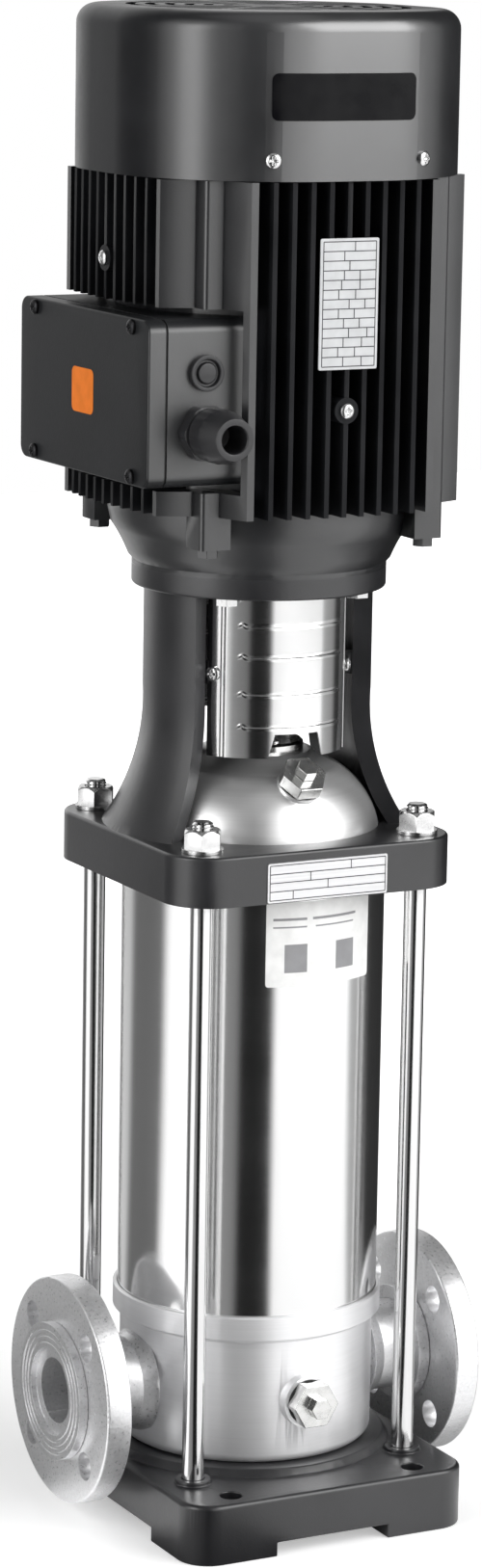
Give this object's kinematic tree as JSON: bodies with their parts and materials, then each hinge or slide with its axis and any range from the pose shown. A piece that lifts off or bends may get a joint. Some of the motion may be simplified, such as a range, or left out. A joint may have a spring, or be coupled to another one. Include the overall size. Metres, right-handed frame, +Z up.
{
  "type": "vertical multistage pump",
  "caption": "Upright in-line multistage water pump: stainless pump stack between flanged ports and a flanged electric motor on top.",
  "frame": {"origin": "on the pump axis at floor level, in the middle of the base's anchor holes", "axes": "+Z up along the shaft, +X out of the outlet port, -Y to the front with the plates and plugs"},
  "size_m": [0.28, 0.2535, 0.955],
  "materials": {
    "black_paint": "black enamel",
    "motor_paint": "satin black enamel on the motor",
    "cast_steel": "bare cast steel",
    "stainless": "brushed stainless steel",
    "bright_steel": "zinc plated steel",
    "dark_steel": "plain machined steel",
    "hard_ring": "dark hard seal and bearing rings",
    "rubber": "black rubber",
    "black_plastic": "black moulded plastic",
    "copper": "varnished copper and steel laminations",
    "brass": "brass",
    "aluminium": "cast aluminium",
    "plate": "bare plates"
  },
  "bodies": {
    "pump": {"base_plate": "black_paint", "bottom_housing": "stainless", "port_stubs": "stainless", "flange_retainers": "cast_steel", "drain_plug": "stainless", "flat_gaskets": "rubber", "sleeve_seat_ring": "stainless", "outer_sleeve": "stainless", "sleeve_seals": "rubber", "inlet_guide": "stainless", "stage_chambers": "stainless", "neck_rings": "black_plastic", "top_chamber": "stainless", "stack_straps": "stainless", "guide_bushes": "hard_ring", "head_cover": "stainless", "vent_plug": "stainless", "seal_gland": "stainless", "seal_stationary_ring": "hard_ring", "motor_stool": "black_paint", "staybolts": "stainless", "staybolt_washers": "bright_steel", "staybolt_nuts": "bright_steel", "coupling_guard_front": "stainless", "coupling_guard_rear": "stainless", "pan_head_screws": "bright_steel", "bearing_outer_rings": "dark_steel", "bearing_balls": "bright_steel", "drive_end_shield": "motor_paint", "hexagon_bolts": "bright_steel", "motor_frame": "motor_paint", "stator": "copper", "fan_end_shield": "motor_paint", "fan_cover": "motor_paint", "terminal_box": "motor_paint", "terminal_lid": "motor_paint", "cable_gland": "black_plastic", "blanking_plug": "black_plastic", "terminal_block": "black_plastic", "terminal_studs": "brass", "plates": "plate"},
    "rotor": {"impellers": "stainless", "impeller_spacers": "stainless", "shaft_nut": "stainless", "pump_shaft": "stainless", "bush_sleeves": "hard_ring", "seal_rotating_ring": "hard_ring", "seal_spring": "stainless", "coupling_half_front": "dark_steel", "coupling_half_rear": "dark_steel", "coupling_screws": "bright_steel", "coupling_pin": "bright_steel", "motor_shaft": "dark_steel", "rotor_core": "aluminium", "bearing_inner_rings": "dark_steel", "cooling_fan": "black_plastic"},
    "inlet_flange_ring": {"inlet_flange": "cast_steel"},
    "outlet_flange_ring": {"outlet_flange": "cast_steel"},
    "drain_bleed": {"drain_spindle": "stainless"},
    "vent_bleed": {"vent_spindle": "stainless"}
  },
  "joints": [
    {"name": "shaft_spin", "type": "hinge", "parent": "pump", "child": "rotor", "pos_m": [0, 0, 0.5], "axis": [0, 0, 1], "continuous": true},
    {"name": "inlet_flange_turn", "type": "hinge", "parent": "pump", "child": "inlet_flange_ring", "pos_m": [-0.125, 0, 0.085], "axis": [1, 0, 0], "continuous": true},
    {"name": "outlet_flange_turn", "type": "hinge", "parent": "pump", "child": "outlet_flange_ring", "pos_m": [0.125, 0, 0.085], "axis": [1, 0, 0], "continuous": true},
    {"name": "drain_spindle_turn", "type": "hinge", "parent": "pump", "child": "drain_bleed", "pos_m": [0, -0.095, 0.085], "axis": [0, -1, 0], "range_deg": [0, 360]},
    {"name": "vent_spindle_turn", "type": "hinge", "parent": "pump", "child": "vent_bleed", "pos_m": [0, -0.057, 0.475], "axis": [0, -0.6428, 0.766], "range_deg": [0, 360]}
  ]
}
